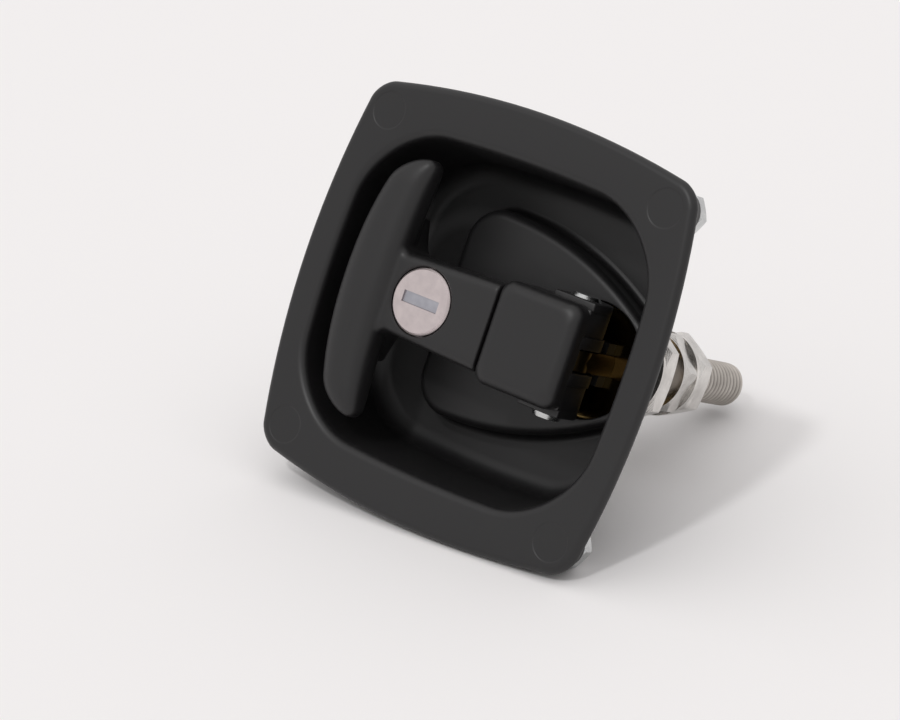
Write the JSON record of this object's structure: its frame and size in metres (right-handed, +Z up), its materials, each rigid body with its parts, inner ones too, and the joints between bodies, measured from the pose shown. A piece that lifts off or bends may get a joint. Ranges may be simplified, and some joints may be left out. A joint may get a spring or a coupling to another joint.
{
  "type": "compression latch",
  "caption": "Flush folding T-handle compression latch: square dished pan, keyed T-handle hinged on a cam block, and a threaded shaft that draws in as the handle folds.",
  "frame": {"origin": "centre of the stud pattern, on the flange's back seat that lies on the panel", "axes": "+X right towards the shaft, +Y back through the panel along the shaft, +Z up along the hinge pin; the front faces -Y"},
  "size_m": [0.1016, 0.0949, 0.1016],
  "materials": {
    "black_coat": "satin textured powder coat",
    "yellow_zinc": "yellow zinc plating",
    "bright_zinc": "bright zinc plating",
    "shaft_steel": "plain nickel-plated steel",
    "spring_steel": "oiled spring steel",
    "satin_nickel": "satin nickel plating",
    "wafer_brass": "plain brass",
    "seal_rubber": "black rubber"
  },
  "bodies": {
    "pan": {"pan": "black_coat", "mounting_studs": "bright_zinc", "stud_nuts": "bright_zinc"},
    "hub": {"hub": "yellow_zinc", "thrust_plate": "black_coat", "hub_seal": "seal_rubber", "hub_washer": "bright_zinc", "hub_nut": "bright_zinc"},
    "spindle": {"shaft": "shaft_steel", "jam_nut": "bright_zinc", "flat_washer": "bright_zinc", "spring_washer": "spring_steel", "pawl_nut": "bright_zinc"},
    "handle": {"t_handle": "black_coat", "pivot_block": "black_coat", "handle_pins": "spring_steel", "hinge_pin": "bright_zinc", "pin_retainer": "bright_zinc", "lock_barrel": "satin_nickel", "barrel_pin": "spring_steel"},
    "lock_core": {"lock_plug": "satin_nickel", "lock_wafers": "wafer_brass", "shutter_pin": "spring_steel", "plug_clip": "spring_steel", "lock_bolt": "bright_zinc", "bolt_pin": "spring_steel"},
    "shutter": {"keyway_shutter": "satin_nickel"}
  },
  "joints": [
    {"name": "shaft_turn", "type": "hinge", "parent": "pan", "child": "hub", "pos_m": [0.0222, 0, 0], "axis": [0, 1, 0], "range_deg": [-1.5, 1.5]},
    {"name": "shaft_slide", "type": "slide", "parent": "hub", "child": "spindle", "axis": [0, 1, 0], "range_m": [0, 0.0032]},
    {"name": "handle_lift", "type": "hinge", "parent": "spindle", "child": "handle", "pos_m": [0.0222, 0.0076, 0], "axis": [0, 0, 1], "range_deg": [0, 90]},
    {"name": "lock_turn", "type": "hinge", "parent": "handle", "child": "lock_core", "pos_m": [-0.01394, 0, 0], "axis": [0, 1, 0], "range_deg": [0, 90]},
    {"name": "shutter_swing", "type": "hinge", "parent": "lock_core", "child": "shutter", "pos_m": [-0.01394, -0.00185, 0.00185], "axis": [1, 0, 0], "range_deg": [0, 72], "stiffness_Nm_per_rad": 0.0001, "springref_deg": -17.19}
  ],
  "couplings": [
    {"joint": "shaft_slide", "follows": "handle_lift", "m_per_rad": 0.0020372}
  ]
}
